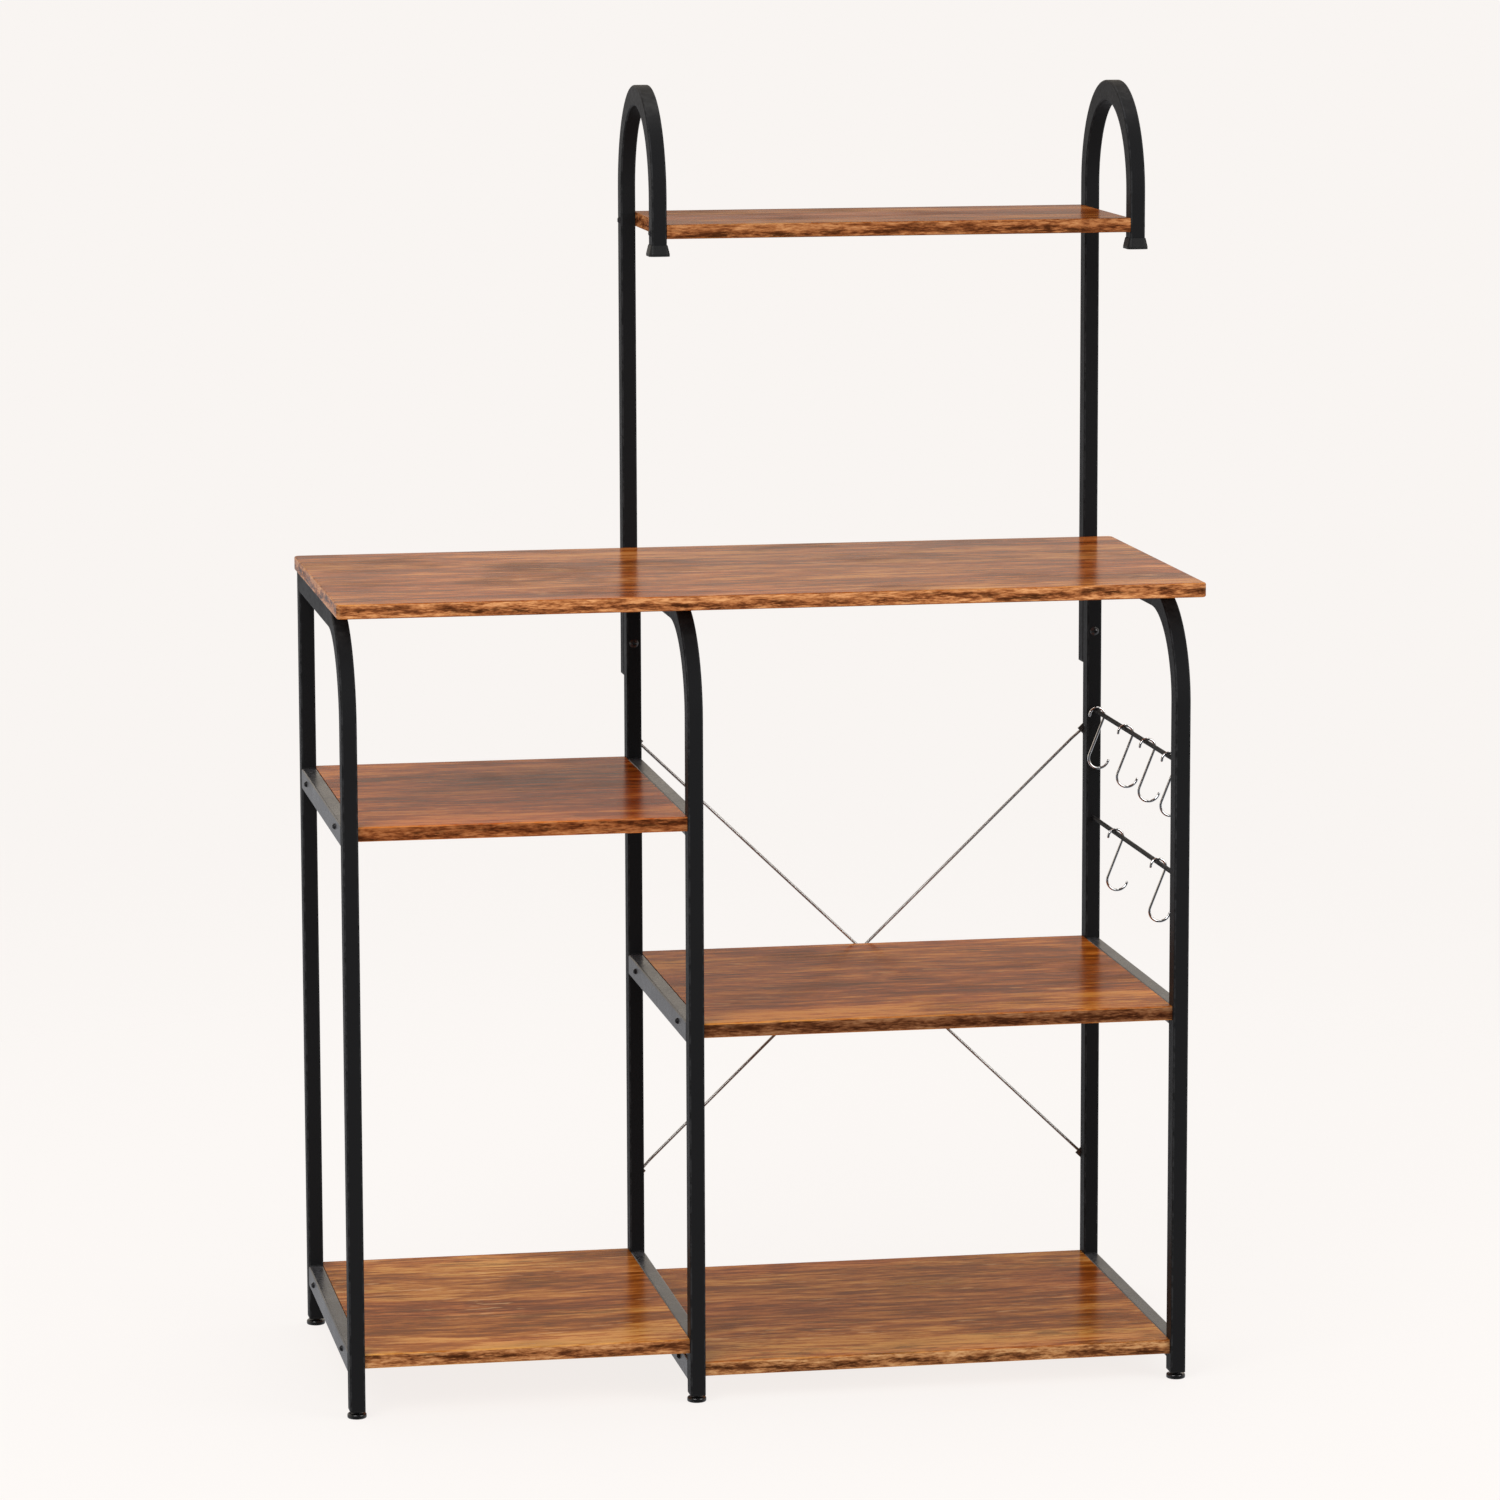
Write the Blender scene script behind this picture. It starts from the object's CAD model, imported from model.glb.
"""Looks of a kitchen shelving unit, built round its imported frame.

Everything is in metres: +X is to the right, the front faces -Y and +Z is up.
"""

from __future__ import annotations

import functools
import itertools
import logging
import math
from collections.abc import Sequence
from dataclasses import dataclass
from enum import Enum

import bmesh
import bpy
from mathutils import Matrix, Vector

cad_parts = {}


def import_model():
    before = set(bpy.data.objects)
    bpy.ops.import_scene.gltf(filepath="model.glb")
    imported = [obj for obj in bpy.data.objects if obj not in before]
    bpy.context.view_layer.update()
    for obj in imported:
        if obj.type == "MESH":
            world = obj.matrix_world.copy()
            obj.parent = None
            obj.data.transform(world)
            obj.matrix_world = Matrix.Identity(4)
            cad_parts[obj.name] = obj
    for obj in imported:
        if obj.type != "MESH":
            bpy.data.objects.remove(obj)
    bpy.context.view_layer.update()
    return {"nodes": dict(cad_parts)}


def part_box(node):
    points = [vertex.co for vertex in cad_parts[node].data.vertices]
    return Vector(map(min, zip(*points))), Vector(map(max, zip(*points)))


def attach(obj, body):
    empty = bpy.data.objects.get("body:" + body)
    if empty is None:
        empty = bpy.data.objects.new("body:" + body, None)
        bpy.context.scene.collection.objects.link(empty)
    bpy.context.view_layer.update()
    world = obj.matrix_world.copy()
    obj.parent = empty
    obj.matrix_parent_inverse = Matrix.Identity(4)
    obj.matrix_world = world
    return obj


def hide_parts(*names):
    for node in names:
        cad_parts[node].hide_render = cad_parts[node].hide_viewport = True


LOG = logging.getLogger("shelving_unit")
MM = 0.001
LAMINATE_IOR = 1.45
COAT_IOR = 1.5
TIP_SHARE = "tip_share"
Triple = tuple[float, float, float]
Range = tuple[float, float]
Colour = Triple
Stops = tuple[tuple[float, Colour], ...]
Object = bpy.types.Object
Material = bpy.types.Material
Tree = bpy.types.NodeTree
Socket = bpy.types.NodeSocket
Outputs = bpy.types.NodeOutputs
Value = Socket | float | str | tuple[float, ...]
Inputs = dict[str | int, Value]
Effects = dict["Group", Tree]


class Slot(Enum):
    """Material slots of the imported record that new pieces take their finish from."""

    FRAME = "frame_black"
    HOOK = "hook_chrome"
    FOOT = "foot_black"


class Group(Enum):
    """Shader effects that several finishes share."""

    GRAIN = "board_grain"
    WEAR = "edge_wear"
    SPECKLE = "fine_speckle"
    DUST = "settled_dust"


@dataclass(frozen=True)
class Pattern:
    """Noise with its cycles per metre along each axis, and where the mask cut from it rises."""

    scale: Triple
    detail: float = 2.0
    rough: float = 0.5
    rise: Range = (0.0, 1.0)


class NodeGraph:
    """A node tree with short calls for adding nodes and joining them."""

    def __init__(self, tree: Tree) -> None:
        """Empties a shader or geometry tree and wraps it."""
        tree.nodes.clear()
        self.tree = tree

    def add(self, kind: str, inputs: Inputs | None = None, **settings: object) -> bpy.types.Node:
        """Adds a node.

        Args:
            kind: The node's type name.
            inputs: What feeds each named or numbered input: another node's output, or a value.
            **settings: Properties of the node to set.

        Returns:
            The new node.
        """
        node = self.tree.nodes.new(kind)
        for name, setting in settings.items():
            setattr(node, name, setting)
        for key, value in (inputs or {}).items():
            if isinstance(value, Socket):
                self.tree.links.new(value, node.inputs[key])
            else:
                node.inputs[key].default_value = value
        return node

    def math(self, operation: str, a: Value, b: Value = 0.0) -> Socket:
        """Works out a Math node's result for one or two values."""
        return self.add("ShaderNodeMath", {0: a, 1: b}, operation=operation).outputs[0]

    def plus(self, a: Value, b: Value) -> Socket:
        """Adds two values."""
        return self.math("ADD", a, b)

    def minus(self, a: Value, b: Value) -> Socket:
        """Takes b from a."""
        return self.math("SUBTRACT", a, b)

    def times(self, *values: Value) -> Socket:
        """Multiplies values, from the first to the last."""
        return functools.reduce(lambda a, b: self.math("MULTIPLY", a, b), values)

    def rest(self, value: Value) -> Socket:
        """Gives what is left of 1."""
        return self.minus(1.0, value)

    def swing(self, noise: Value, share: Value) -> Socket:
        """Gives a share of how far a noise is from its middle."""
        return self.times(self.minus(noise, 0.5), share)

    def total(self, base: Value, parts: Sequence[tuple[Value, float]]) -> Socket:
        """Adds values, each times its share, to a base."""
        return functools.reduce(lambda so_far, part: self.plus(so_far, self.times(*part)), parts, base)

    def vector(self, operation: str, a: Value, b: Value) -> Socket:
        """Works out a Vector Math node's vector for two vectors."""
        return self.add("ShaderNodeVectorMath", {0: a, 1: b}, operation=operation).outputs[0]

    def split(self, vector: Value) -> Outputs:
        """Gives a vector's X, Y and Z."""
        return self.add("ShaderNodeSeparateXYZ", {0: vector}).outputs

    def normal(self) -> Outputs:
        """Gives the X, Y and Z of the surface's direction."""
        return self.split(self.add("ShaderNodeNewGeometry").outputs["Normal"])

    def step(self, value: Value, low: float, high: float) -> Socket:
        """Turns a value into a mask that rises smoothly from 0 at low to 1 at high."""
        inputs = {"Value": value, "From Min": low, "From Max": high}
        return self.add("ShaderNodeMapRange", inputs, interpolation_type="SMOOTHSTEP").outputs["Result"]

    def noise(self, place: Value, pattern: Pattern) -> Socket:
        """Reads a pattern's noise.

        Args:
            place: Where the noise is read.
            pattern: The pattern.

        Returns:
            The noise, from 0 to 1.
        """
        place = self.vector("MULTIPLY", place, pattern.scale)
        inputs = {"Vector": place, "Scale": 1.0, "Detail": pattern.detail, "Roughness": pattern.rough}
        return self.add("ShaderNodeTexNoise", inputs, noise_dimensions="3D").outputs[0]

    def mask(self, place: Value, pattern: Pattern) -> Socket:
        """Reads a pattern's mask."""
        return self.step(self.noise(place, pattern), *pattern.rise)

    def mix(self, share: Value, a: Value, b: Value, way: str = "MIX") -> Socket:
        """Mixes colour a with a share of colour b, in the named blend type."""
        a, b = ((*colour, 1.0) if isinstance(colour, tuple) else colour for colour in (a, b))
        return self.add("ShaderNodeMix", {0: share, 6: a, 7: b}, data_type="RGBA", blend_type=way).outputs[2]

    def tinted(self, colour: Value, tint: Value) -> Socket:
        """Multiplies a colour by a tint."""
        return self.mix(1.0, colour, tint, "MULTIPLY")

    def ramp(self, value: Value, stops: Stops) -> Socket:
        """Turns a value into a colour.

        Args:
            value: The value to read.
            stops: Places from 0 to 1, each with its colour.

        Returns:
            The colour.
        """
        node = self.add("ShaderNodeValToRGB", {0: value})
        elements = node.color_ramp.elements
        while len(elements) < len(stops):
            elements.new(0.5)
        for element, (place, colour) in zip(elements, stops):
            element.position = place
            element.color = (*colour, 1.0)
        return node.outputs[0]

    def relief(self, height: Value, depth: float, **under: Socket) -> Socket:
        """Gives the normal of a relief that is depth metres high, over the Normal of a coarser one."""
        return self.add("ShaderNodeBump", {"Distance": depth, "Height": height, **under}).outputs["Normal"]


def own_tree(owner: Material | bpy.types.World) -> Tree:
    """Gives the tree of a material or a world."""
    owner.use_nodes = True
    return owner.node_tree


class Effect:
    """Base of the shader effects, each of which is one group."""

    group: Group

    def start(self, **inputs: float | None) -> tuple[NodeGraph, Outputs]:
        """Starts the group.

        Args:
            **inputs: Default of each input by name, or None where it is a place.

        Returns:
            The graph, and the sockets of its inputs.
        """
        tree = bpy.data.node_groups.new(self.group.value, "ShaderNodeTree")
        for name, value in inputs.items():
            kind = "NodeSocketVector" if value is None else "NodeSocketFloat"
            socket = tree.interface.new_socket(name=name, in_out="INPUT", socket_type=kind)
            if value is not None:
                socket.default_value = value
        graph = NodeGraph(tree)
        return graph, graph.add("NodeGroupInput").outputs

    @staticmethod
    def end(graph: NodeGraph, **outputs: Socket) -> Tree:
        """Ends a group.

        Args:
            graph: The group's graph.
            **outputs: What feeds each output, which is a plain value, by name.

        Returns:
            The group's tree.
        """
        for name in outputs:
            graph.tree.interface.new_socket(name=name, in_out="OUTPUT", socket_type="NodeSocketFloat")
        graph.add("NodeGroupOutput", outputs)
        return graph.tree


@dataclass(frozen=True)
class Grain(Effect):
    """Rustic wood grain that runs along X, and the chips and blotches of the edge strips."""

    group = Group.GRAIN
    sway: Pattern = Pattern((3, 7, 7))
    sway_reach: float = 0.035
    layers: tuple[tuple[Pattern, float], ...] = (
        (Pattern((2.2, 13, 13)), 0.16),
        (Pattern((6, 27, 27), 4, 0.66), 0.24),
        (Pattern((12, 110, 110), 5, 0.74), 0.40),
    )
    fibre: Pattern = Pattern((34, 340, 340), 4, 0.70)
    fibre_share: float = 0.20
    tone_rise: Range = (0.41, 0.59)
    patch: Pattern = Pattern((5.5, 9, 9), 3, 0.6, (0.50, 0.68))
    wisp: Pattern = Pattern((13, 100, 100), 5, 0.76, (0.40, 0.60))
    wisp_share: float = 0.70
    between_wisps: float = 0.30
    warmth: Pattern = Pattern((2, 11, 11), rise=(0.36, 0.64))
    scratch: Pattern = Pattern((19, 120, 120), 3, 0.6, (0.58, 0.66))
    scratched: Pattern = Pattern((7, 16, 16), rise=(0.48, 0.60))
    vein: Pattern = Pattern((16, 135, 135), 4, 0.7, (0.53, 0.60))
    veined: Pattern = Pattern((5, 12, 12), 3, 0.6, (0.40, 0.62))
    chips: tuple[tuple[Pattern, float], ...] = (
        (Pattern((40, 40, 250), 4, 0.66), 0.55),
        (Pattern((120, 120, 700), 3, 0.66), 0.45),
    )
    chip_rise: Range = (0.32, 0.68)
    blotch: Pattern = Pattern((30, 30, 160), 5, 0.72, (0.50, 0.62))

    def tree(self) -> Tree:
        """Builds the group.

        Returns:
            Its tree.
        """
        graph, given = self.start(Place=None, Shift=None)
        place = graph.vector("ADD", given["Place"], given["Shift"])
        sway = graph.swing(graph.noise(place, self.sway), self.sway_reach)
        place = graph.vector("ADD", place, graph.add("ShaderNodeCombineXYZ", {"Y": sway}).outputs[0])
        fibre = graph.noise(place, self.fibre)
        layers = [(graph.noise(place, pattern), share) for pattern, share in self.layers]
        tone = graph.total(0.0, [*layers, (fibre, self.fibre_share)])
        wisp = graph.plus(graph.times(graph.mask(place, self.wisp), self.wisp_share), self.between_wisps)
        chips = graph.total(0.0, [(graph.noise(place, pattern), share) for pattern, share in self.chips])
        return self.end(
            graph,
            Tone=graph.step(tone, *self.tone_rise),
            Smoke=graph.times(graph.mask(place, self.patch), wisp),
            Warmth=graph.mask(place, self.warmth),
            Fibre=fibre,
            Scratch=graph.times(graph.mask(place, self.scratch), graph.mask(place, self.scratched)),
            Vein=graph.times(graph.mask(place, self.vein), graph.mask(place, self.veined)),
            Edge=graph.step(chips, *self.chip_rise),
            Blotch=graph.mask(place, self.blotch),
        )


@dataclass(frozen=True)
class Wear(Effect):
    """Masks on rounded edges, broken up by noise. Tube reads only edges of tubes bent about X."""

    group = Group.WEAR
    rise: Range = (0.03, 0.22)
    ragged: Pattern = Pattern((90, 90, 90), 4, 0.65, (0.38, 0.62))

    def tree(self) -> Tree:
        """Builds the group.

        Returns:
            Its tree.
        """
        graph, given = self.start(Place=None, Amount=1.0)
        sides = [graph.math("ABSOLUTE", side) for side in graph.normal()]
        most = functools.reduce(lambda a, b: graph.math("MAXIMUM", a, b), sides)
        ragged = graph.mask(given["Place"], self.ragged)
        slopes = {"Mask": graph.rest(most), "Tube": graph.math("MINIMUM", sides[0], graph.rest(sides[0]))}
        masks = {
            name: graph.times(graph.step(slope, *self.rise), ragged, given["Amount"])
            for name, slope in slopes.items()
        }
        return self.end(graph, **masks)


@dataclass(frozen=True)
class Speckle(Effect):
    """Fine texture of a powder coat or of moulded plastic."""

    group = Group.SPECKLE
    height: Pattern = Pattern((900, 900, 900))
    cloud: Pattern = Pattern((14, 14, 14), 3, 0.6)
    grit: Pattern = Pattern((230, 230, 230), 3, 0.7)

    def tree(self) -> Tree:
        """Builds the group.

        Returns:
            Its tree.
        """
        graph, given = self.start(Place=None)
        patterns = {"Height": self.height, "Cloud": self.cloud, "Grit": self.grit}
        return self.end(graph, **{name: graph.noise(given["Place"], p) for name, p in patterns.items()})


@dataclass(frozen=True)
class Dust(Effect):
    """Thin dust on what faces up."""

    group = Group.DUST
    upward: Range = (0.6, 0.95)
    cloud: Pattern = Pattern((40, 40, 40), 5, 0.7, (0.35, 0.75))

    def tree(self) -> Tree:
        """Builds the group.

        Returns:
            Its tree.
        """
        graph, given = self.start(Place=None, Amount=0.1)
        up = graph.step(graph.normal()[2], *self.upward)
        cloud = graph.mask(given["Place"], self.cloud)
        return self.end(graph, Mask=graph.times(up, cloud, given["Amount"]))


class SurfaceGraph(NodeGraph):
    """A finish's tree, with the place on the piece and the shared effects."""

    def __init__(self, material: Material, effects: Effects) -> None:
        """Wraps a material's tree.

        Args:
            material: The material.
            effects: The shared effects.
        """
        super().__init__(own_tree(material))
        self.place = self.add("ShaderNodeTexCoord").outputs["Object"]
        self.effects = effects

    def use(self, which: Group, **values: Value) -> Outputs:
        """Places a shared effect in the finish, and gives its outputs."""
        inputs = {"Place": self.place, **values}
        return self.add("ShaderNodeGroup", inputs, node_tree=self.effects[which]).outputs


@dataclass(frozen=True)
class Finish:
    """Base of the finishes, each of which is one material with one shader."""

    name: str

    def shader(self, graph: SurfaceGraph) -> Inputs:
        """Gives what feeds each input of the shader, by name."""
        raise NotImplementedError

    def build(self, effects: Effects) -> Material:
        """Makes the material.

        Args:
            effects: The shared effects.

        Returns:
            The material.
        """
        material = bpy.data.materials.new(self.name)
        graph = SurfaceGraph(material, effects)
        surface = graph.add("ShaderNodeBsdfPrincipled", {"IOR": COAT_IOR, **self.shader(graph)})
        graph.add("ShaderNodeOutputMaterial", {"Surface": surface.outputs[0]})
        return material


@dataclass(frozen=True)
class BoardLook:
    """What sets one board apart: its stretch of grain, its tints, its gloss and its paler front."""

    shift: Triple
    face: Colour
    edge: Colour
    gloss: float = 0.024
    lift: float = 1.0


@dataclass(frozen=True)
class BoardFinish(Finish):
    """Rustic brown laminate, with warmer and darker edge strips.

    The ranges and levels along a board's depth and up its edge are shares of its depth and thickness.
    """

    look: BoardLook
    heights: Range
    depths: Range
    face: Stops = (
        (0.0, (0.122, 0.029, 0.003)),
        (0.35, (0.220, 0.058, 0.008)),
        (0.65, (0.325, 0.102, 0.020)),
        (1.0, (0.485, 0.216, 0.062)),
    )
    edge: Stops = (
        (0.0, (0.085, 0.022, 0.006)),
        (0.32, (0.230, 0.068, 0.018)),
        (0.62, (0.430, 0.155, 0.045)),
        (1.0, (0.620, 0.275, 0.095)),
    )
    smoke: Colour = (0.088, 0.030, 0.004)
    edge_smoke: Colour = (0.035, 0.010, 0.003)
    golden: Colour = (1.02, 1.10, 1.00)
    reddish: Colour = (0.98, 0.90, 0.94)
    pale: Colour = (0.58, 0.33, 0.15)
    marks: tuple[tuple[str, float, Colour], ...] = (
        ("Smoke", 0.58, smoke),
        ("Vein", 0.62, smoke),
        ("Scratch", 0.50, pale),
    )
    blotch_share: float = 0.90
    worn: float = 0.24
    level: Range = (0.25, 0.75)
    front_wander: Pattern = Pattern((5, 9, 9))
    front_reach: float = 0.3
    front_fades: Range = (0.02, 0.30)
    back_rises: Range = (0.60, 0.90)
    front_gain: float = 0.36
    middle_loss: float = 0.09
    band_wander: Pattern = Pattern((7, 7, 7), 3, 0.6)
    band_reach: float = 2.0
    band_middle: float = 0.42
    band_fades: Range = (0.06, 0.42)
    strip_gain: float = 0.12
    band_loss: float = 0.34
    roughness: float = 0.15
    fibre_roughness: float = 0.12
    smoke_roughness: float = 0.08
    fibre_depth: float = 0.00006

    def face_colour(self, graph: SurfaceGraph, grain: Outputs) -> Socket:
        """Colours the faces: grain, paler along the front, then smoke, veins and pale scratches.

        Args:
            graph: The material's graph.
            grain: The grain's outputs.

        Returns:
            The colour.
        """
        lift = self.look.lift
        front, back = self.depths
        deep = back - front
        wander = graph.swing(graph.noise(graph.place, self.front_wander), self.front_reach * deep)
        along = graph.plus(graph.split(graph.place)[1], wander)
        near = graph.rest(graph.step(along, *(front + share * deep for share in self.front_fades)))
        far = graph.step(along, *(front + share * deep for share in self.back_rises))
        middle = graph.times(graph.rest(graph.plus(near, far)), self.middle_loss * lift)
        gain = graph.minus(graph.times(near, self.front_gain * lift), middle)
        tint = graph.mix(grain["Warmth"], self.reddish, self.golden)
        colour = graph.tinted(graph.ramp(graph.plus(grain["Tone"], gain), self.face), tint)
        for mark, share, over in self.marks:
            colour = graph.mix(graph.times(grain[mark], share), colour, over)
        return graph.tinted(colour, self.look.face)

    def edge_colour(self, graph: SurfaceGraph, grain: Outputs) -> Socket:
        """Colours the edge strips: chips, with a darker, blotched band a little under the middle.

        Args:
            graph: The material's graph.
            grain: The grain's outputs.

        Returns:
            The colour.
        """
        low, high = self.heights
        thick = high - low
        wander = graph.swing(graph.noise(graph.place, self.band_wander), self.band_reach * thick)
        height = graph.plus(graph.split(graph.place)[2], wander)
        off = graph.math("ABSOLUTE", graph.minus(height, low + self.band_middle * thick))
        band = graph.rest(graph.step(off, *(share * thick for share in self.band_fades)))
        tone = graph.plus(grain["Edge"], graph.minus(self.strip_gain, graph.times(band, self.band_loss)))
        colour = graph.tinted(graph.ramp(tone, self.edge), self.look.edge)
        return graph.mix(graph.times(grain["Blotch"], band, self.blotch_share), colour, self.edge_smoke)

    def shader(self, graph: SurfaceGraph) -> Inputs:
        """Works out the laminate's inputs.

        Args:
            graph: The material's graph.

        Returns:
            The shader's inputs, by name.
        """
        grain = graph.use(Group.GRAIN, Shift=self.look.shift)
        wear = graph.use(Group.WEAR, Amount=self.worn)
        on_edge = graph.rest(graph.step(graph.math("ABSOLUTE", graph.normal()[2]), *self.level))
        colour = graph.mix(on_edge, self.face_colour(graph, grain), self.edge_colour(graph, grain))
        roughened = [(grain["Fibre"], self.fibre_roughness), (grain["Smoke"], self.smoke_roughness)]
        return {
            "IOR": LAMINATE_IOR,
            "Specular IOR Level": self.look.gloss,
            "Base Color": graph.mix(wear["Mask"], colour, self.pale),
            "Roughness": graph.total(self.roughness, roughened),
            "Normal": graph.relief(grain["Fibre"], self.fibre_depth),
        }


@dataclass(frozen=True)
class PowderCoat(Finish):
    """Satin black powder coat on steel tube, pale where it is thin, gritty or dusty."""

    colour: Colour
    specular: float
    thin: Colour = (0.035, 0.035, 0.037)
    pale: Colour = (0.12, 0.12, 0.13)
    dust: Colour = (0.42, 0.40, 0.38)
    roughness: float = 0.30
    mottle: float = 0.0
    worn: float = 0.5
    dusty: float = 0.05
    spots: Range = (0.44, 0.60)
    cloud_roughness: float = 0.16
    grit_roughness: float = 0.30
    grit_depth: float = 0.00012
    fine_depth: float = 0.00004

    def shader(self, graph: SurfaceGraph) -> Inputs:
        """Works out the coat's inputs.

        Args:
            graph: The material's graph.

        Returns:
            The shader's inputs, by name.
        """
        speckle = graph.use(Group.SPECKLE)
        worn = graph.use(Group.WEAR, Amount=self.worn)["Tube"]
        dusty = graph.use(Group.DUST, Amount=self.dusty)["Mask"]
        spots = graph.times(graph.step(speckle["Grit"], *self.spots), self.mottle)
        colour = self.colour
        for share, over in ((worn, self.thin), (spots, self.pale), (dusty, self.dust)):
            colour = graph.mix(share, colour, over)
        rough = graph.plus(self.roughness, graph.swing(speckle["Cloud"], self.cloud_roughness))
        coarse = graph.relief(speckle["Grit"], self.grit_depth)
        return {
            "Specular IOR Level": self.specular,
            "Base Color": colour,
            "Roughness": graph.plus(rough, graph.swing(speckle["Grit"], self.grit_roughness)),
            "Normal": graph.relief(speckle["Height"], self.fine_depth, Normal=coarse),
        }


@dataclass(frozen=True)
class MouldedPlastic(Finish):
    """Black moulded plastic, matt or glossy."""

    roughness: float
    grain_depth: float
    specular: float = 0.25
    colour: Colour = (0.007, 0.007, 0.0075)
    dust: Colour = (0.40, 0.38, 0.36)
    dusty: float = 0.03
    cloud_roughness: float = 0.10

    def shader(self, graph: SurfaceGraph) -> Inputs:
        """Works out the plastic's inputs.

        Args:
            graph: The material's graph.

        Returns:
            The shader's inputs, by name.
        """
        speckle = graph.use(Group.SPECKLE)
        dusty = graph.use(Group.DUST, Amount=self.dusty)["Mask"]
        return {
            "Specular IOR Level": self.specular,
            "Base Color": graph.mix(dusty, self.colour, self.dust),
            "Roughness": graph.total(self.roughness, [(speckle["Cloud"], self.cloud_roughness)]),
            "Normal": graph.relief(speckle["Height"], self.grain_depth),
        }


@dataclass(frozen=True)
class PlatedSteel(Finish):
    """Bright or dull plated steel."""

    colour: Colour
    dull: Colour
    roughness: float
    clouds: Range = (0.35, 0.65)
    cloud_roughness: float = 0.08
    fine_depth: float = 0.00001

    def shader(self, graph: SurfaceGraph) -> Inputs:
        """Works out the plating's inputs.

        Args:
            graph: The material's graph.

        Returns:
            The shader's inputs, by name.
        """
        speckle = graph.use(Group.SPECKLE)
        cloud = graph.step(speckle["Cloud"], *self.clouds)
        return {
            "Metallic": 1.0,
            "Base Color": graph.mix(cloud, self.colour, self.dull),
            "Roughness": graph.total(self.roughness, [(cloud, self.cloud_roughness)]),
            "Normal": graph.relief(speckle["Height"], self.fine_depth),
        }


@dataclass(frozen=True)
class BlackOxide(Finish):
    """Blackened steel of screws, bolts and nuts, bare where it is worn."""

    specular: float = 0.08
    roughness: float = 0.26
    colour: Colour = (0.008, 0.008, 0.009)
    bare: Colour = (0.06, 0.06, 0.065)
    worn: float = 0.7
    bare_metal: float = 0.8
    cloud_roughness: float = 0.14
    fine_depth: float = 0.00002

    def shader(self, graph: SurfaceGraph) -> Inputs:
        """Works out the oxide's inputs.

        Args:
            graph: The material's graph.

        Returns:
            The shader's inputs, by name.
        """
        speckle = graph.use(Group.SPECKLE)
        worn = graph.use(Group.WEAR, Amount=self.worn)["Mask"]
        return {
            "Specular IOR Level": self.specular,
            "Base Color": graph.mix(worn, self.colour, self.bare),
            "Metallic": graph.times(worn, self.bare_metal),
            "Roughness": graph.total(self.roughness, [(speckle["Cloud"], self.cloud_roughness)]),
            "Normal": graph.relief(speckle["Height"], self.fine_depth),
        }


def dress(piece: Object, material: Material) -> None:
    """Gives a piece one finish.

    Args:
        piece: The piece to dress.
        material: Its finish.
    """
    if not piece.material_slots:
        piece.data.materials.append(material)
    for slot in piece.material_slots:
        slot.link = "OBJECT"
        slot.material = material


def put_in_scene(name: str, data: bpy.types.ID) -> Object:
    """Makes an object of a mesh, a lamp or a camera.

    Args:
        name: The object's name.
        data: What it shows.

    Returns:
        The object, at the origin.
    """
    thing = bpy.data.objects.new(name, data)
    bpy.context.scene.collection.objects.link(thing)
    return thing


def new_piece(name: str, points: Sequence[Vector], edges: Sequence, faces: Sequence) -> Object:
    """Makes a piece from points, edges and faces.

    Args:
        name: The piece's name.
        points: Its points in metres.
        edges: Pairs of point numbers.
        faces: Loops of point numbers.

    Returns:
        The piece, at the origin.
    """
    mesh = bpy.data.meshes.new(name)
    mesh.from_pydata([tuple(p) for p in points], edges, faces)
    mesh.update()
    return put_in_scene(name, mesh)


def on_circle(radius: float, angle: float) -> tuple[float, float]:
    """Gives the point at an angle in radians on a circle."""
    return radius * math.cos(angle), radius * math.sin(angle)


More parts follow.
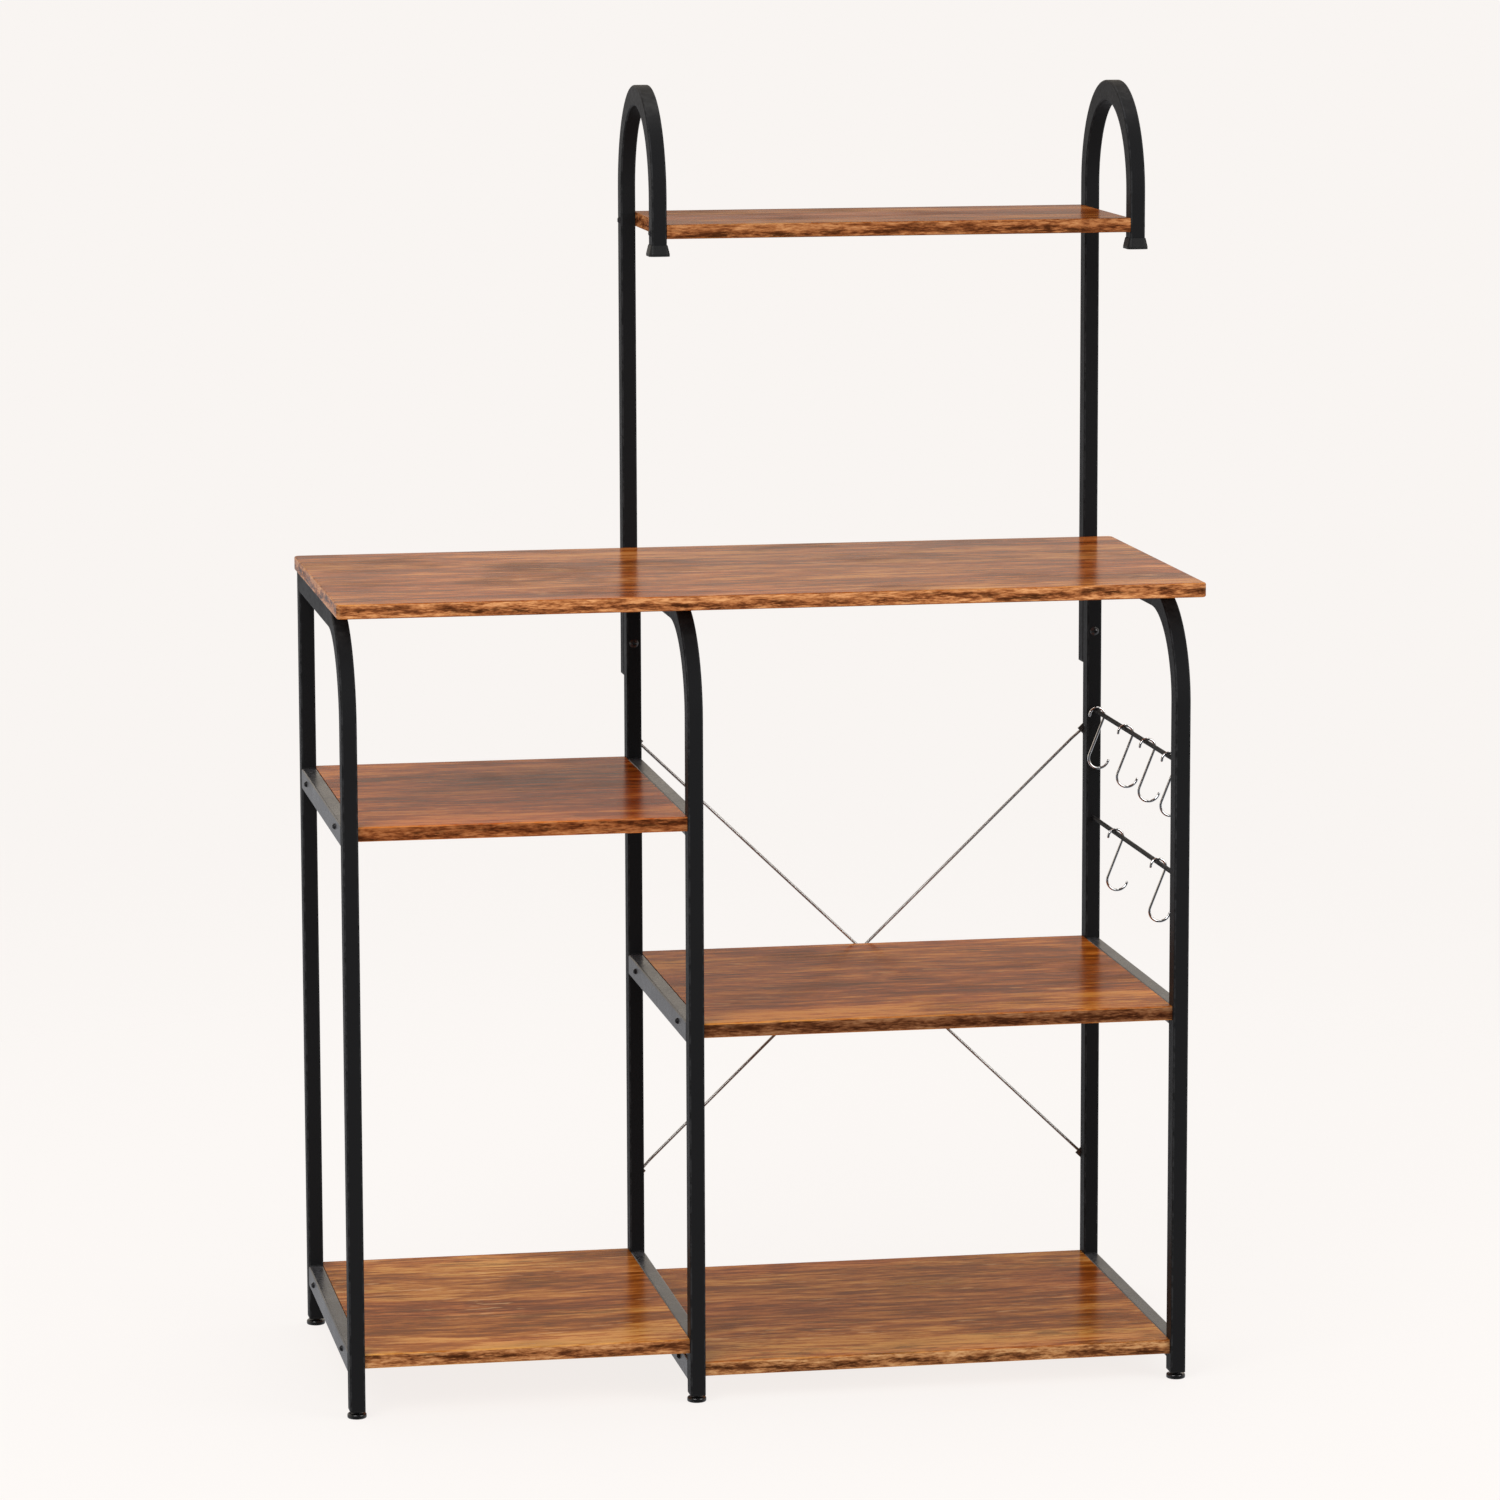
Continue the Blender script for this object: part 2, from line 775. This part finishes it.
class PathTree(NodeGraph):
    """Base of the geometry trees: a path and named sizes go in, and a dressed plain mesh comes out."""

    def __init__(self, name: str, sizes: dict[str, float]) -> None:
        """Starts the tree.

        Args:
            name: The tree's name.
            sizes: Default of each named size.
        """
        tree = bpy.data.node_groups.new(name, "GeometryNodeTree")
        tree.interface.new_socket(name="Path", in_out="INPUT", socket_type="NodeSocketGeometry")
        for size, value in sizes.items():
            socket = tree.interface.new_socket(name=size, in_out="INPUT", socket_type="NodeSocketFloat")
            socket.default_value = value
        tree.interface.new_socket(name="Finish", in_out="INPUT", socket_type="NodeSocketMaterial")
        tree.interface.new_socket(name="Piece", in_out="OUTPUT", socket_type="NodeSocketGeometry")
        super().__init__(tree)
        self.given = self.add("NodeGroupInput").outputs

    def curve(self) -> Socket:
        """Turns the path into a curve."""
        return self.add("GeometryNodeMeshToCurve", {"Mesh": self.given["Path"]}).outputs[0]

    def swept(self, rail: Socket, radius: Socket, sides: int, **more: Value) -> Socket:
        """Sweeps a ring along a curve and fills its ends.

        Args:
            rail: The curve.
            radius: The ring's radius.
            sides: The ring's number of sides.
            **more: What feeds the sweep's other inputs, by name.

        Returns:
            The swept mesh.
        """
        ring = self.add("GeometryNodeCurvePrimitiveCircle", {"Resolution": sides, "Radius": radius})
        inputs = {"Curve": rail, "Profile Curve": ring.outputs[0], "Fill Caps": True, **more}
        return self.add("GeometryNodeCurveToMesh", inputs).outputs[0]

    def close(self, shape: Socket, smooth: bool = True) -> None:
        """Ends the tree in Set Shade Smooth, Realize Instances and Set Material.

        Args:
            shape: The geometry made so far.
            smooth: Whether its faces are shaded smooth.
        """
        shade = self.add("GeometryNodeSetShadeSmooth", {"Geometry": shape, "Shade Smooth": smooth})
        real = self.add("GeometryNodeRealizeInstances", {0: shade.outputs[0]})
        inputs = {"Geometry": real.outputs[0], "Material": self.given["Finish"]}
        self.add("NodeGroupOutput", {0: self.add("GeometryNodeSetMaterial", inputs).outputs[0]})

    def make(self, path: Object, finish: Material, sizes: dict[str, float] | None = None) -> Object:
        """Runs the tree on a path and leaves a plain mesh in its place.

        Args:
            path: A piece of points and edges, which becomes the result.
            finish: The material.
            sizes: Sizes that differ from their defaults.

        Returns:
            The piece, with a plain mesh.
        """
        modifier = path.modifiers.new("shape", "NODES")
        modifier.node_group = self.tree
        ids = {item.name: item.identifier for item in self.tree.interface.items_tree}
        for name, value in {**(sizes or {}), "Finish": finish}.items():
            modifier[ids[name]] = value
        bpy.context.view_layer.update()
        graph = bpy.context.evaluated_depsgraph_get()
        mesh = bpy.data.meshes.new_from_object(path.evaluated_get(graph))
        path.modifiers.remove(modifier)
        old, path.data = path.data, mesh
        bpy.data.meshes.remove(old)
        mesh.name = path.name
        dress(path, finish)
        return path


class WireTree(PathTree):
    """Round wire along a path, thinned to a round tip at both ends."""

    sides: int = 20

    def __init__(self) -> None:
        """Builds the tree."""
        super().__init__("swept_wire", {"Wire Radius": 1.4 * MM})
        share = self.add("GeometryNodeInputNamedAttribute", {"Name": TIP_SHARE}, data_type="FLOAT")
        thin = share.outputs["Attribute"]
        rail = self.add("GeometryNodeSetCurveRadius", {"Curve": self.curve(), "Radius": thin})
        self.close(self.swept(rail.outputs[0], self.given["Wire Radius"], self.sides, Scale=thin))


class BeadTree(PathTree):
    """Weld bead: overlapping drops set along a path."""

    roundness: int = 2
    smallest: float = 0.86
    largest: float = 1.08
    seed: int = 7

    def __init__(self) -> None:
        """Builds the tree."""
        super().__init__("weld_bead", {"Drop Radius": 1.3 * MM, "Drop Gap": 1.1 * MM})
        path = {"Curve": self.curve(), "Length": self.given["Drop Gap"]}
        spread = self.add("GeometryNodeResampleCurve", path, mode="LENGTH")
        ball = {"Subdivisions": self.roundness, "Radius": self.given["Drop Radius"]}
        drop = self.add("GeometryNodeMeshIcoSphere", ball)
        limits = {"Min": self.smallest, "Max": self.largest, "Seed": self.seed}
        vary = self.add("FunctionNodeRandomValue", limits, data_type="FLOAT")
        row = {"Points": spread.outputs[0], "Instance": drop.outputs["Mesh"], "Scale": vary.outputs["Value"]}
        self.close(self.add("GeometryNodeInstanceOnPoints", row).outputs[0])


class ThreadTree(PathTree):
    """Screw thread: a ridge wound round a stud that starts at the path's first point."""

    steps_per_turn: int = 24
    ridge_sides: int = 4

    def __init__(self) -> None:
        """Builds the tree."""
        sizes = {"Root Radius": 2.75 * MM, "Length": 28.5 * MM, "Turns": 28.5, "Ridge": 0.25 * MM}
        super().__init__("stud_thread", sizes)
        winding = {
            "Resolution": self.steps_per_turn,
            "Rotations": self.given["Turns"],
            "Start Radius": self.given["Root Radius"],
            "End Radius": self.given["Root Radius"],
            "Height": self.given["Length"],
        }
        coil = self.add("GeometryNodeCurveSpiral", winding)
        ridge = self.swept(coil.outputs[0], self.given["Ridge"], self.ridge_sides)
        start = self.add("GeometryNodeMeshToPoints", {"Mesh": self.given["Path"]})
        row = {"Points": start.outputs[0], "Instance": ridge}
        self.close(self.add("GeometryNodeInstanceOnPoints", row).outputs[0], smooth=False)


@dataclass
class SubAssembly:
    """Base of the sub-assemblies that dress the frame's nodes."""

    nodes: dict[str, Object]

    def dress_nodes(self, material: Material, *names: str) -> None:
        """Gives the named nodes one finish."""
        for name in names:
            dress(self.nodes[name], material)


@dataclass
class Boards(SubAssembly):
    """The worktop and the five shelves, each with its own stretch of grain."""

    effects: Effects
    looks: tuple[tuple[str, BoardLook], ...] = (
        ("worktop", BoardLook((3.1, 0.7, 0.2), (0.90, 0.75, 0.66), (0.92, 1.00, 1.22), 0.0185, 0.0)),
        ("shelf_left_middle", BoardLook((9.4, 2.6, 1.1), (1.08, 0.74, 0.42), (0.56, 0.50, 0.54), 0.0175)),
        ("shelf_left_bottom", BoardLook((14.2, 5.3, 2.7), (1.14, 1.10, 0.98), (0.74, 0.84, 1.05))),
        ("shelf_right_middle", BoardLook((21.7, 8.2, 3.9), (1.05, 0.82, 0.48), (0.37, 0.40, 0.55), 0.0195)),
        ("shelf_right_bottom", BoardLook((27.5, 11.9, 5.2), (0.94, 0.86, 0.70), (0.74, 0.92, 1.20))),
        ("shelf_top", BoardLook((34.8, 15.1, 6.4), (0.62, 0.50, 0.43), (0.68, 0.70, 0.82), 0.003, 0.0)),
    )

    def build(self) -> None:
        """Dresses every board."""
        for name, look in self.looks:
            low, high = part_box(name)
            heights, depths = ((float(low[axis]), float(high[axis])) for axis in (2, 1))
            self.dress_nodes(BoardFinish(f"grain_{name}", look, heights, depths).build(self.effects), name)
            LOG.info("board %s dressed", name)


@dataclass
class SideFrames(SubAssembly):
    """The three welded frames, each with its left side and its rails' tops, and the beads in the corners."""

    post_finish: Material
    rail_finish: Material
    front: float = -202 * MM
    rear: float = 174 * MM
    tube: float = 16 * MM
    height: float = 22 * MM
    top: float = 828 * MM
    inset: float = 2.4 * MM
    frames: tuple[tuple[str, float, tuple[float, ...]], ...] = (
        ("left", -447 * MM, (615 * MM, 67 * MM)),
        ("middle", -93 * MM, (615 * MM, 399 * MM, 67 * MM, 42 * MM)),
        ("right", 418 * MM, (399 * MM, 42 * MM)),
    )

    def bead_path(self, name: str, x: float, rails: Sequence[float]) -> Object:
        """Draws the lines that one frame's beads follow.

        Args:
            name: The piece's name.
            x: The frame's left side.
            rails: Height of each rail's upper side.

        Returns:
            A piece of points and edges.
        """
        rows = [(y, z) for z in rails for y in (self.front, self.rear)]
        rows += [(y, z - self.height) for z in rails for y in (self.front, self.rear)]
        rows.append((self.rear, self.top - self.height))
        ends = (x + self.inset, x + self.tube - self.inset)
        points = [Vector((end, y, z)) for y, z in rows for end in ends]
        return new_piece(name, points, [(i, i + 1) for i in range(0, len(points), 2)], [])

    def build(self) -> None:
        """Dresses the frames and adds their weld beads."""
        beads = BeadTree()
        for side, x, rails in self.frames:
            parts = ("front_post", "front_bend", "top_tube", "rear_post")
            self.dress_nodes(self.post_finish, *(f"{part}_{side}" for part in parts))
            self.dress_nodes(self.rail_finish, f"rails_{side}")
            piece = beads.make(self.bead_path(f"weld_beads_{side}", x, rails), self.post_finish)
            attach(piece, "frame")
            LOG.info("side frame %s: %d rails, beads of %d faces", side, len(rails), len(piece.data.polygons))


@dataclass
class Canes(SubAssembly):
    """The two canes, and the caps, plugs and inserts of the tubes' ends."""

    tube_finish: Material
    cap_finish: Material

    def build(self) -> None:
        """Dresses the canes and the tubes' ends."""
        self.dress_nodes(self.tube_finish, "cane_left", "cane_right")
        self.dress_nodes(self.cap_finish, "cane_caps", "cane_plugs", "post_inserts")
        LOG.info("canes, caps, plugs and inserts dressed")


@dataclass
class HookRail(SubAssembly):
    """The two rods on the right frame and the six hooks that hang on them."""

    rod_finish: Material
    wire_finish: Material
    x: float = 426 * MM
    rod_radius: float = 2.5 * MM
    gap: float = 0.15 * MM
    wire_radius: float = 1.4 * MM
    curl: float = 8.2 * MM
    crook: float = 11.2 * MM
    reach: float = 47.5 * MM
    shift: float = 2.0 * MM
    tail: float = 180.0
    tip: float = 345.0
    curl_points: int = 40
    crook_points: int = 44
    shank_steps: int = 8
    ball_angles: tuple[float, ...] = (20, 40, 60, 75, 86)
    places: tuple[tuple[float, float], ...] = (
        (160.088 * MM, 654 * MM),
        (28.112 * MM, 654 * MM),
        (-70.024 * MM, 654 * MM),
        (-165.904 * MM, 654 * MM),
        (69.848 * MM, 534 * MM),
        (-121.16 * MM, 534 * MM),
    )

    @staticmethod
    def arc(middle: Vector, radius: float, start: float, end: float, count: int) -> list[Vector]:
        """Gives points on an arc in a hook's plane.

        Args:
            middle: The arc's centre.
            radius: Its radius.
            start: Its first angle in radians.
            end: Its last angle in radians.
            count: How many points.

        Returns:
            The points.
        """
        turns = [on_circle(radius, start + (end - start) * i / (count - 1)) for i in range(count)]
        return [middle + Vector((across, 0, up)) for across, up in turns]

    def half_ball(self, end: Vector, inner: Vector) -> list[tuple[Vector, float]]:
        """Gives the round tip at one end of the wire.

        Args:
            end: The wire's last point.
            inner: The point before it.

        Returns:
            Points beyond the end, each with its share of the wire's radius.
        """
        away = (end - inner).normalized()
        rings = [on_circle(1.0, math.radians(angle)) for angle in self.ball_angles]
        return [(end + away * self.wire_radius * far, share) for share, far in rings]

    def line(self, y: float, rod_z: float) -> list[tuple[Vector, float]]:
        """Follows one hook's wire from its tail to its tip.

        Args:
            y: The hook's place along the rod.
            rod_z: Height of the rod's axis.

        Returns:
            The points along the wire, each with its share of the wire's radius.
        """
        centre = Vector((self.x, y, rod_z + self.rod_radius + self.gap + self.wire_radius - self.curl))
        span = math.hypot(self.shift, self.reach)
        lean = math.atan2(-self.reach, self.shift) + math.acos((self.curl + self.crook) / span)
        low = centre + Vector((self.shift, 0, -self.reach))
        curl = self.arc(centre, self.curl, math.radians(self.tail), lean, self.curl_points)
        crook = self.arc(low, self.crook, lean + math.pi, math.radians(self.tip), self.crook_points)
        shank = [curl[-1].lerp(crook[0], i / self.shank_steps) for i in range(1, self.shank_steps)]
        wire = [(point, 1.0) for point in curl + shank + crook]
        return self.half_ball(curl[0], curl[1])[::-1] + wire + self.half_ball(crook[-1], crook[-2])

    def build(self) -> None:
        """Dresses the rods and bends a wire for each hook."""
        self.dress_nodes(self.rod_finish, "hook_rod_upper", "hook_rod_lower")
        wire = WireTree()
        for number, (y, rod_z) in enumerate(self.places, start=1):
            points, shares = zip(*self.line(y, rod_z))
            path = new_piece(f"wire_hook_{number}", points, [(i, i + 1) for i in range(len(points) - 1)], [])
            path.data.attributes.new(TIP_SHARE, "FLOAT", "POINT").data.foreach_set("value", shares)
            piece = wire.make(path, self.wire_finish, {"Wire Radius": self.wire_radius})
            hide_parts(f"hook_{number}")
            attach(piece, f"hook_{number}")
            LOG.info("hook %d: wire of %d faces", number, len(piece.data.polygons))


@dataclass
class Brace(SubAssembly):
    """The cross brace's rods and screws."""

    finish: Material

    def build(self) -> None:
        """Dresses the brace."""
        self.dress_nodes(self.finish, "brace_rod_falling", "brace_rod_rising", "brace_screws")
        LOG.info("brace dressed")


@dataclass
class Feet:
    """The six levelling feet with threaded studs. Their outline, from the floor up, is in millimetres."""

    finish: Material
    neck_top: float = 8 * MM
    thread_gap: float = 0.3 * MM
    sides: int = 56
    flat_above: float = 0.97
    profile: tuple[tuple[float, float], ...] = (
        (0.0, 0.0), (8.7, 0.0), (9.5, 0.3), (9.9, 0.8), (10.0, 1.4), (10.0, 3.4), (9.8, 4.2), (9.3, 4.8),
        (8.6, 5.0), (6.5, 5.1), (6.1, 5.3), (6.0, 5.7), (6.0, 7.6), (5.7, 8.0), (2.65, 8.0), (2.65, 37.4),
        (2.1, 38.0), (0.0, 38.0),
    )
    frames: tuple[tuple[str, float], ...] = (("left", -439 * MM), ("middle", -85 * MM), ("right", 426 * MM))
    posts: tuple[tuple[str, float], ...] = (("front", -213 * MM), ("rear", 185 * MM))

    def turned(self, name: str, x: float, y: float) -> Object:
        """Turns the foot's outline round its axis.

        Args:
            name: The piece's name.
            x: The axis's place along X.
            y: The axis's place along Y.

        Returns:
            The closed piece.
        """
        sides = self.sides
        rings = [(r * MM, z * MM) for r, z in self.profile if r > 0]
        points = [Vector((x, y, self.profile[0][1] * MM))]
        for radius, z in rings:
            turns = [on_circle(radius, math.tau * i / sides) for i in range(sides)]
            points += [Vector((x + across, y + along, z)) for across, along in turns]
        points.append(Vector((x, y, self.profile[-1][1] * MM)))
        last = 1 + (len(rings) - 1) * sides
        faces: list[tuple[int, ...]] = []
        for i in range(sides):
            j = (i + 1) % sides
            faces.append((0, 1 + j, 1 + i))
            for a in range(1, last, sides):
                faces.append((a + i, a + j, a + sides + j, a + sides + i))
            faces.append((last + i, last + j, len(points) - 1))
        piece = new_piece(name, points, [], faces)
        for face in piece.data.polygons:
            face.use_smooth = abs(face.normal.z) < self.flat_above
        return piece

    def build(self) -> None:
        """Makes each foot and winds its thread."""
        thread = ThreadTree()
        for (side, x), (end, y) in itertools.product(self.frames, self.posts):
            name = f"{side}_{end}"
            body = self.turned(f"levelling_foot_{name}", x, y)
            start = Vector((x, y, self.neck_top + self.thread_gap))
            coil = thread.make(new_piece(f"thread_{name}", [start], [], []), self.finish)
            joined = bmesh.new()
            for part in (body, coil):
                joined.from_mesh(part.data)
            joined.to_mesh(body.data)
            joined.free()
            bpy.data.objects.remove(coil)
            dress(body, self.finish)
            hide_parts(f"foot_{name}")
            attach(body, f"foot_{name}")
            LOG.info("foot %s: %d faces", name, len(body.data.polygons))


@dataclass
class Fasteners(SubAssembly):
    """Screws, bolts and nuts."""

    screw_finish: Material
    bolt_finish: Material

    def build(self) -> None:
        """Dresses the fasteners."""
        self.dress_nodes(self.screw_finish, "shelf_screws", "worktop_screws", "top_shelf_screws")
        self.dress_nodes(self.bolt_finish, "cane_bolts", "cane_nuts")
        LOG.info("fasteners dressed")


@dataclass(frozen=True)
class Lamp:
    """A soft round lamp: where it hangs, what it aims at, its width in metres and its power in watts."""

    name: str
    place: Triple
    aim: Triple
    size: float
    power: float


@dataclass
class Studio:
    """Floor, lamps, surroundings and camera.

    The shines are what reflections see of the room, as shares of the backdrop's brightness.
    """

    backdrop: Colour = (0.947, 0.913, 0.888)
    ambient: float = 0.90
    front_shine: float = 0.05
    back_shine: float = 0.95
    high_shine: float = 0.75
    low_shine: float = 0.62
    cool: Colour = (0.95, 0.99, 1.06)
    warm: Colour = (1.00, 0.93, 0.82)
    front_to_back: Range = (-0.85, 0.25)
    low_to_back: Range = (-0.06, 0.05)
    back_to_high: Range = (0.10, 0.34)
    floor_radius: float = 4.5
    floor_sides: int = 96
    floor_fades: Range = (0.25, 0.85)
    floor_glow: float = 0.90
    eye: Triple = (-1.0978, -6.2251, 1.6275)
    yaw: float = -10.10
    pitch: float = -8.805
    roll: float = -0.169
    lens: float = 145.12
    sensor: float = 36.0
    sight: float = 100.0
    lamps: tuple[Lamp, ...] = (
        Lamp("key_lamp", (-2.2, -2.8, 3.0), (0.0, 0.0, 0.6), 2.4, 90.0),
        Lamp("fill_lamp", (2.6, -2.6, 1.8), (0.0, 0.0, 0.5), 2.2, 52.0),
        Lamp("top_lamp", (0.3, 0.4, 3.8), (0.0, 0.0, 0.7), 2.6, 34.0),
    )

    def shine(self, share: float, tint: Colour) -> Colour:
        """Gives the colour of a reflected part of the room, from its share and its tint."""
        return tuple(c * t * share for c, t in zip(self.backdrop, tint))

    def surroundings(self) -> None:
        """Makes the world: the backdrop's colour for the eye, the room for reflections, and soft light."""
        world = bpy.data.worlds.new("studio_air")
        bpy.context.scene.world = world
        graph = NodeGraph(own_tree(world))
        rays = graph.add("ShaderNodeLightPath").outputs
        _, behind, above = graph.split(graph.add("ShaderNodeTexCoord").outputs["Generated"])
        room = self.shine(self.back_shine, self.warm)
        room = graph.mix(graph.step(above, *self.back_to_high), room, self.shine(self.high_shine, self.warm))
        room = graph.mix(graph.step(above, *self.low_to_back), self.shine(self.low_shine, self.cool), room)
        front = self.shine(self.front_shine, self.cool)
        room = graph.mix(graph.step(behind, *self.front_to_back), front, room)
        seen = graph.math("MAXIMUM", rays["Is Camera Ray"], rays["Is Transmission Ray"])
        light = graph.mix(rays["Is Glossy Ray"], (self.ambient,) * 3, room)
        sky = graph.add("ShaderNodeBackground", {"Color": graph.mix(seen, light, self.backdrop)})
        graph.add("ShaderNodeOutputWorld", {"Surface": sky.outputs[0]})

    def floor(self) -> None:
        """Lays a round pale floor that fades into the backdrop."""
        sides = self.floor_sides
        rim = [Vector((*on_circle(self.floor_radius, math.tau * i / sides), 0)) for i in range(sides)]
        piece = new_piece("studio_floor", rim, [], [tuple(range(sides))])
        material = bpy.data.materials.new("pale_floor")
        graph = NodeGraph(own_tree(material))
        place = graph.add("ShaderNodeTexCoord").outputs["Object"]
        distance = graph.add("ShaderNodeVectorMath", {0: place}, operation="LENGTH").outputs["Value"]
        fade = graph.step(distance, *(self.floor_radius * share for share in self.floor_fades))
        colour = {"Color": (*self.backdrop, 1.0)}
        matt = graph.add("ShaderNodeBsdfDiffuse", colour).outputs[0]
        glow = graph.add("ShaderNodeEmission", colour).outputs[0]
        clear = graph.add("ShaderNodeBsdfTransparent").outputs[0]
        lit = graph.add("ShaderNodeMixShader", {0: self.floor_glow, 1: matt, 2: glow}).outputs[0]
        edge = graph.add("ShaderNodeMixShader", {0: fade, 1: lit, 2: clear}).outputs[0]
        graph.add("ShaderNodeOutputMaterial", {"Surface": edge})
        piece.data.materials.append(material)
        piece.visible_glossy = False

    def light(self) -> None:
        """Hangs the soft lamps."""
        for lamp in self.lamps:
            disk = bpy.data.lights.new(lamp.name, "AREA")
            disk.shape = "DISK"
            disk.size = lamp.size
            disk.energy = lamp.power
            turn = (Vector(lamp.place) - Vector(lamp.aim)).to_track_quat("Z", "Y")
            holder = put_in_scene(lamp.name, disk)
            holder.matrix_world = Matrix.Translation(lamp.place) @ turn.to_matrix().to_4x4()

    def camera(self) -> None:
        """Sets the camera where the photograph was taken from."""
        yaw, pitch, roll = (math.radians(a) for a in (self.yaw, self.pitch, self.roll))
        ahead = Vector((math.sin(-yaw) * math.cos(pitch), math.cos(-yaw) * math.cos(pitch), math.sin(pitch)))
        right = Vector((math.cos(-yaw), -math.sin(-yaw), 0.0))
        up = right.cross(ahead)
        right, up = (
            right * math.cos(roll) + up * math.sin(roll),
            up * math.cos(roll) - right * math.sin(roll),
        )
        lens = bpy.data.cameras.new("eye")
        lens.lens = self.lens
        lens.sensor_width = self.sensor
        lens.clip_end = self.sight
        eye = put_in_scene("eye", lens)
        eye.matrix_world = Matrix.Translation(self.eye) @ Matrix((right, up, -ahead)).transposed().to_4x4()
        bpy.context.scene.camera = eye

    def build(self) -> None:
        """Sets up the whole studio."""
        self.surroundings()
        self.floor()
        self.light()
        self.camera()
        bpy.context.scene.view_settings.view_transform = "Standard"
        LOG.info("studio: %d lamps", len(self.lamps))


def main() -> None:
    """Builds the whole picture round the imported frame."""
    logging.basicConfig(level=logging.INFO, format="%(name)s: %(message)s")
    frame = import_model()
    nodes = frame["nodes"]
    effects = {effect.group: effect.tree() for effect in (Grain(), Wear(), Speckle(), Dust())}
    rail_coat, post_coat, matt, gloss, bright, zinc, oxide, polished = (
        finish.build(effects)
        for finish in (
            PowderCoat("rail_powder_coat", (0.022, 0.022, 0.024), specular=0.28, mottle=0.26),
            PowderCoat("post_powder_coat", (0.0095, 0.0095, 0.0100), specular=0.03, roughness=0.42),
            MouldedPlastic("matt_black_plastic", roughness=0.48, grain_depth=0.00006),
            MouldedPlastic("gloss_black_plastic", roughness=0.10, grain_depth=0.000004, specular=0.6),
            PlatedSteel("bright_plated_wire", (0.86, 0.87, 0.88), (0.72, 0.73, 0.75), 0.10),
            PlatedSteel("dull_zinc", (0.62, 0.62, 0.61), (0.46, 0.46, 0.45), 0.36),
            BlackOxide("black_oxide"),
            BlackOxide("polished_black_oxide", specular=1.0, roughness=0.08),
        )
    )
    for part in (
        Studio(),
        Boards(nodes, effects),
        SideFrames(nodes, post_coat, rail_coat),
        Canes(nodes, post_coat, matt),
        HookRail(nodes, post_coat, bright),
        Brace(nodes, zinc),
        Feet(gloss),
        Fasteners(nodes, oxide, polished),
    ):
        part.build()


if __name__ == "__main__":
    main()
